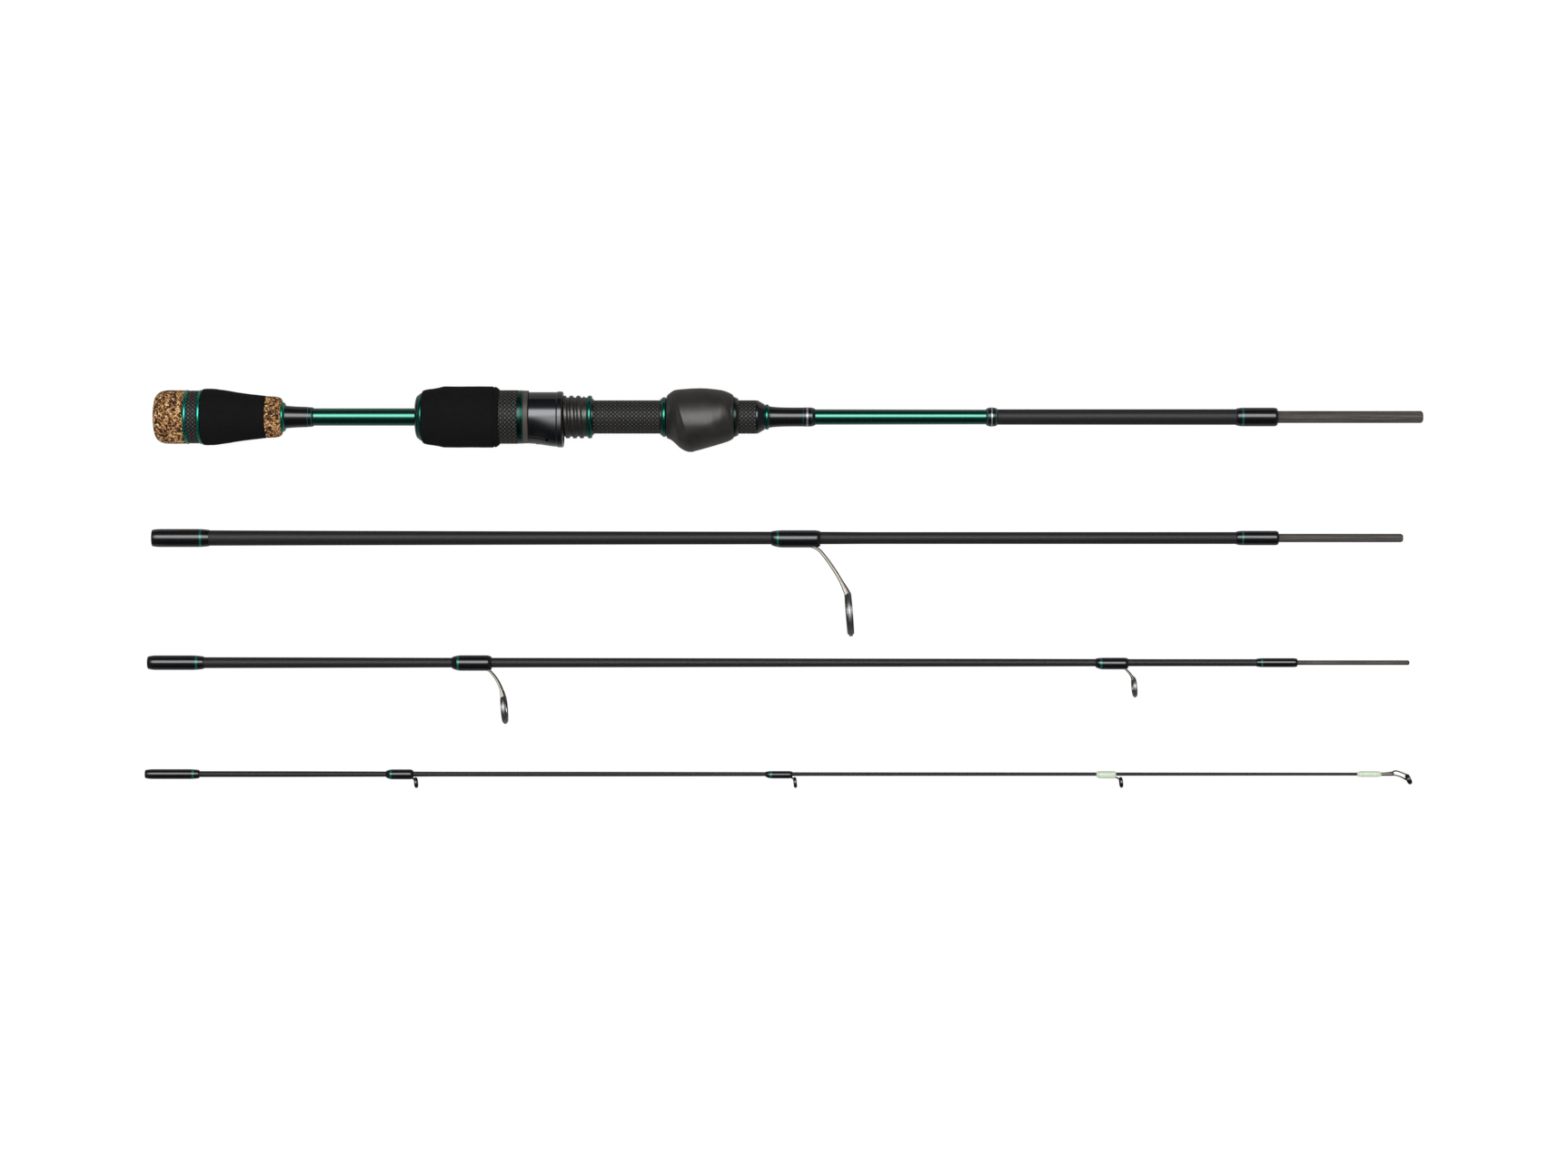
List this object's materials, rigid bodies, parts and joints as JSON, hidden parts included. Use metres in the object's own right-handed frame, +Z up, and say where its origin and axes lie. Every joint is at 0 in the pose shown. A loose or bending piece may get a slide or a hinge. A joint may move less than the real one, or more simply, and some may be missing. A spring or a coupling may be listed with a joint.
{
  "type": "spinning rod",
  "caption": "Spinning rod in sections with spigot ferrules, a screw-locked reel seat, foam and cork grips, and line guides along one side.",
  "frame": {"origin": "centre of the butt cap's flat end face, on the butt section's axis", "axes": "+X along every section's axis from butt to tip; -Y the side the guides and the reel foot pockets face; +Z up from the table the sections lie on"},
  "size_m": [0.4938, 0.1553, 0.0236],
  "materials": {
    "lacquered_blank": "gloss metallic lacquer",
    "cork": "matte, speckled",
    "green_metal": "anodised gloss",
    "woven_carbon": "satin weave",
    "foam_grip": "fine closed-cell foam",
    "thread_wrap": "clear-coated winding",
    "silver_wrap": "metallic winding under clear coat",
    "arbor": "matte",
    "seat_plastic": "satin moulded",
    "foregrip_plastic": "soft matte moulded",
    "black_gloss": "polished",
    "washer": "satin",
    "matte_blank": "matte unsanded graphite",
    "graphite": "ground graphite",
    "guide_steel": "polished",
    "guide_ring": "polished",
    "glow_wrap": "pale winding under clear coat"
  },
  "bodies": {
    "butt_section": {"butt_blank": "lacquered_blank", "butt_cap": "cork", "butt_trim_rings": "green_metal", "butt_band": "woven_carbon", "rear_grip": "foam_grip", "grip_collar": "cork", "rear_winding_check": "green_metal", "rear_wrap": "thread_wrap", "seat_arbors": "arbor", "seat_barrel": "seat_plastic", "barrel_end_ring": "green_metal", "seat_tube": "woven_carbon", "seat_front_ring": "green_metal", "foregrip": "foregrip_plastic", "foregrip_end_ring": "black_gloss", "front_sleeve": "woven_carbon", "front_taper_ring": "black_gloss", "front_winding_check": "green_metal", "front_wrap": "thread_wrap", "front_wrap_band": "silver_wrap", "blank_trim_ring": "green_metal", "ferrule_wrap_1": "thread_wrap", "trim_band_1": "green_metal", "spigot_1": "graphite"},
    "sliding_hood": {"hood": "black_gloss", "hood_washer": "washer"},
    "lock_nut": {"nut_insert": "seat_plastic", "nut_grip": "foam_grip", "nut_end_cap": "black_gloss", "nut_end_ring": "green_metal", "nut_sleeve": "woven_carbon", "nut_front_ring": "green_metal"},
    "section_2": {"blank_2": "matte_blank", "ferrule_wrap_2_rear": "thread_wrap", "ferrule_wrap_2_front": "thread_wrap", "trim_bands_2": "green_metal", "spigot_2": "graphite", "guide_1_wrap": "thread_wrap", "guide_1_frame": "guide_steel", "guide_1_ring": "guide_ring"},
    "section_3": {"blank_3": "matte_blank", "ferrule_wraps_3": "thread_wrap", "trim_bands_3": "green_metal", "spigot_3": "graphite", "guide_wraps_3": "thread_wrap", "guide_2_frame": "guide_steel", "guide_2_ring": "guide_ring", "guide_3_frame": "guide_steel", "guide_3_ring": "guide_ring"},
    "section_4": {"blank_4": "matte_blank", "socket_wrap_4": "thread_wrap", "trim_bands_4": "green_metal", "guide_wraps_4": "thread_wrap", "glow_wraps": "glow_wrap", "small_guide_frames": "guide_steel", "small_guide_rings": "guide_ring", "tip_top_frame": "guide_steel", "tip_top_ring": "guide_ring"}
  },
  "joints": [
    {"name": "hood_slide", "type": "slide", "parent": "butt_section", "child": "sliding_hood", "axis": [1, 0, 0], "range_m": [-0.0136, 0.0082]},
    {"name": "nut_turn", "type": "hinge", "parent": "sliding_hood", "child": "lock_nut", "pos_m": [0.12, 0, 0], "axis": [1, 0, 0], "range_deg": [-1800, 1080]},
    {"name": "section_2_twist", "type": "hinge", "parent": "butt_section", "child": "section_2", "pos_m": [-0.0009, -0.0466, -0.003], "axis": [-1, 0, 0], "continuous": true},
    {"name": "section_3_twist", "type": "hinge", "parent": "butt_section", "child": "section_3", "pos_m": [-0.0031, -0.0948, -0.006], "axis": [-1, 0, 0], "continuous": true},
    {"name": "section_4_twist", "type": "hinge", "parent": "butt_section", "child": "section_4", "pos_m": [-0.0047, -0.1381, -0.00968], "axis": [-1, 0, 0], "continuous": true}
  ],
  "couplings": [
    {"joint": "hood_slide", "follows": "nut_turn", "m_per_rad": 0.00042972}
  ]
}
